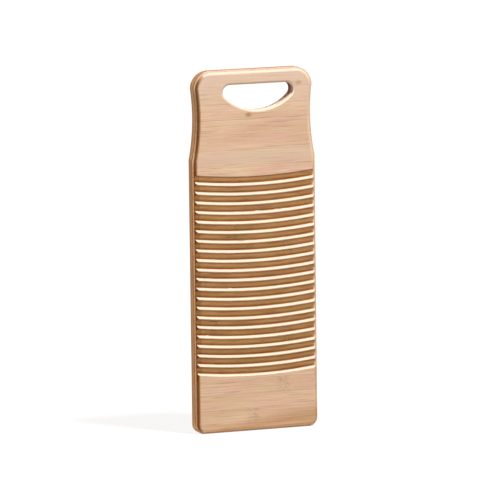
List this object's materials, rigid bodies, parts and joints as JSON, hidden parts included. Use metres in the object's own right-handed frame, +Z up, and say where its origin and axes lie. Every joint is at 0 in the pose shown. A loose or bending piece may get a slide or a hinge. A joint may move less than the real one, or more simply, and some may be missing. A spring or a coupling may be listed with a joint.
{
  "type": "washboard",
  "caption": "Laminated bamboo washboard with a hand hole in its necked head, a moulded edge and curved rubbing flutes across its face.",
  "frame": {"origin": "middle of the foot on the surface that the board stands on, halfway through its thickness", "axes": "+Z up the board from the foot to the grip, -Y out of the rubbing face, +X to the right seen from the front"},
  "size_m": [0.16, 0.02, 0.45],
  "materials": {
    "bamboo_front_ply": "satin",
    "bamboo_core_ply": "satin",
    "bamboo_back_ply": "satin"
  },
  "bodies": {
    "root": {"back_stave_01": "bamboo_back_ply", "back_stave_02": "bamboo_back_ply", "back_stave_03": "bamboo_back_ply", "back_stave_04": "bamboo_back_ply", "back_stave_05": "bamboo_back_ply", "back_stave_06": "bamboo_back_ply", "back_stave_07": "bamboo_back_ply", "back_stave_08": "bamboo_back_ply", "back_stave_09": "bamboo_back_ply", "back_stave_10": "bamboo_back_ply", "back_stave_11": "bamboo_back_ply", "back_stave_12": "bamboo_back_ply", "back_stave_13": "bamboo_back_ply", "back_stave_14": "bamboo_back_ply", "back_stave_15": "bamboo_back_ply", "back_stave_16": "bamboo_back_ply", "back_stave_17": "bamboo_back_ply", "back_stave_18": "bamboo_back_ply", "back_stave_19": "bamboo_back_ply", "back_stave_20": "bamboo_back_ply", "back_stave_21": "bamboo_back_ply", "back_stave_22_left": "bamboo_back_ply", "back_stave_22_right": "bamboo_back_ply", "back_stave_23": "bamboo_back_ply", "back_stave_24": "bamboo_back_ply", "core_stave_1": "bamboo_core_ply", "core_stave_2": "bamboo_core_ply", "core_stave_3_lower": "bamboo_core_ply", "core_stave_3_upper": "bamboo_core_ply", "core_stave_4_lower": "bamboo_core_ply", "core_stave_4_upper": "bamboo_core_ply", "core_stave_5_lower": "bamboo_core_ply", "core_stave_5_upper": "bamboo_core_ply", "core_stave_6": "bamboo_core_ply", "core_stave_7": "bamboo_core_ply", "front_stave_01": "bamboo_front_ply", "front_stave_02": "bamboo_front_ply", "front_stave_03": "bamboo_front_ply", "front_stave_04": "bamboo_front_ply", "front_stave_05": "bamboo_front_ply", "front_stave_06": "bamboo_front_ply", "front_stave_07": "bamboo_front_ply", "front_stave_08": "bamboo_front_ply", "front_stave_09": "bamboo_front_ply", "front_stave_10": "bamboo_front_ply", "front_stave_11": "bamboo_front_ply", "front_stave_12": "bamboo_front_ply", "front_stave_13": "bamboo_front_ply", "front_stave_14": "bamboo_front_ply", "front_stave_15": "bamboo_front_ply", "front_stave_16": "bamboo_front_ply", "front_stave_17": "bamboo_front_ply", "front_stave_18": "bamboo_front_ply", "front_stave_19": "bamboo_front_ply", "front_stave_20": "bamboo_front_ply", "front_stave_21": "bamboo_front_ply", "front_stave_22": "bamboo_front_ply", "front_stave_23_left": "bamboo_front_ply", "front_stave_23_right": "bamboo_front_ply", "front_stave_24": "bamboo_front_ply"}
  },
  "joints": []
}
